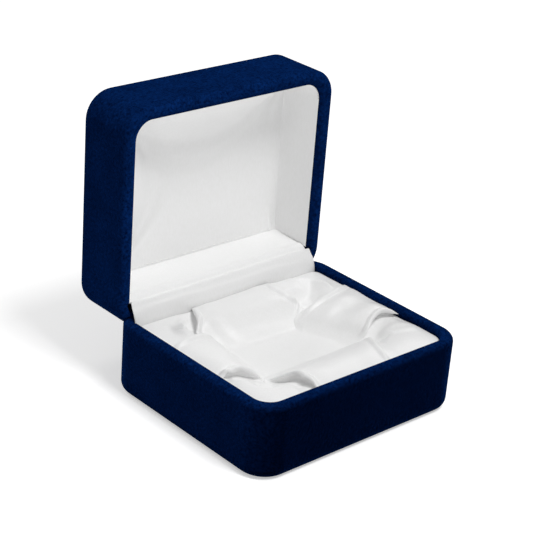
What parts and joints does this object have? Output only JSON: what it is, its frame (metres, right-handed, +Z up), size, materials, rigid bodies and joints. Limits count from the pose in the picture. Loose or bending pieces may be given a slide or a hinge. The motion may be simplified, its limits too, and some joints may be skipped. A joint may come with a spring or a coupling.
{
  "type": "jewelry gift box",
  "caption": "Hinged velvet jewelry gift box with rounded corners, standing open, with a draped satin well in the base and a padded satin lining in the lid.",
  "frame": {"origin": "middle of the resting face, under the base", "axes": "+Z up, +X along the hinge to the right as seen from the front, +Y from the front towards the hinge and the open lid"},
  "size_m": [0.09, 0.0977, 0.0997],
  "materials": {
    "shell_plastic": "moulded polypropylene, unpainted, hidden under the velvet",
    "velvet": "navy flocked velvet, short soft pile with a pale sheen on the rounded edges",
    "base_paper": "dark embossed leatherette paper",
    "satin": "white polyester satin, soft gloss with fine weave lines",
    "card": "off-white chip card",
    "wadding": "white polyester wadding",
    "hinge_steel": "nickel-plated pressed steel",
    "spring_steel": "blued spring steel, satin",
    "thread": "white polyester sewing thread"
  },
  "bodies": {
    "base": {"base_shell": "shell_plastic", "base_velvet": "velvet", "bottom_sheet": "base_paper", "insert_tray": "card", "well_pad": "wadding", "wadding_front": "wadding", "wadding_back": "wadding", "wadding_left": "wadding", "wadding_right": "wadding", "satin_drape": "satin", "flap_tail": "satin", "hinge_base_leaf": "hinge_steel", "hinge_pin": "hinge_steel", "base_rivets": "hinge_steel", "snap_springs": "spring_steel"},
    "lid": {"lid_shell": "shell_plastic", "lid_velvet": "velvet", "lid_panel_card": "card", "lid_wadding": "wadding", "lid_side_card": "card", "lid_lining": "satin", "flap_card": "card", "hinge_flap": "satin", "seam_stitches": "thread", "hinge_lid_leaf": "hinge_steel", "lid_rivets": "hinge_steel"}
  },
  "joints": [
    {"name": "lid_hinge", "type": "hinge", "parent": "base", "child": "lid", "pos_m": [0, 0.0338, 0.0269], "axis": [1, 0, 0], "range_deg": [0, 90]}
  ]
}
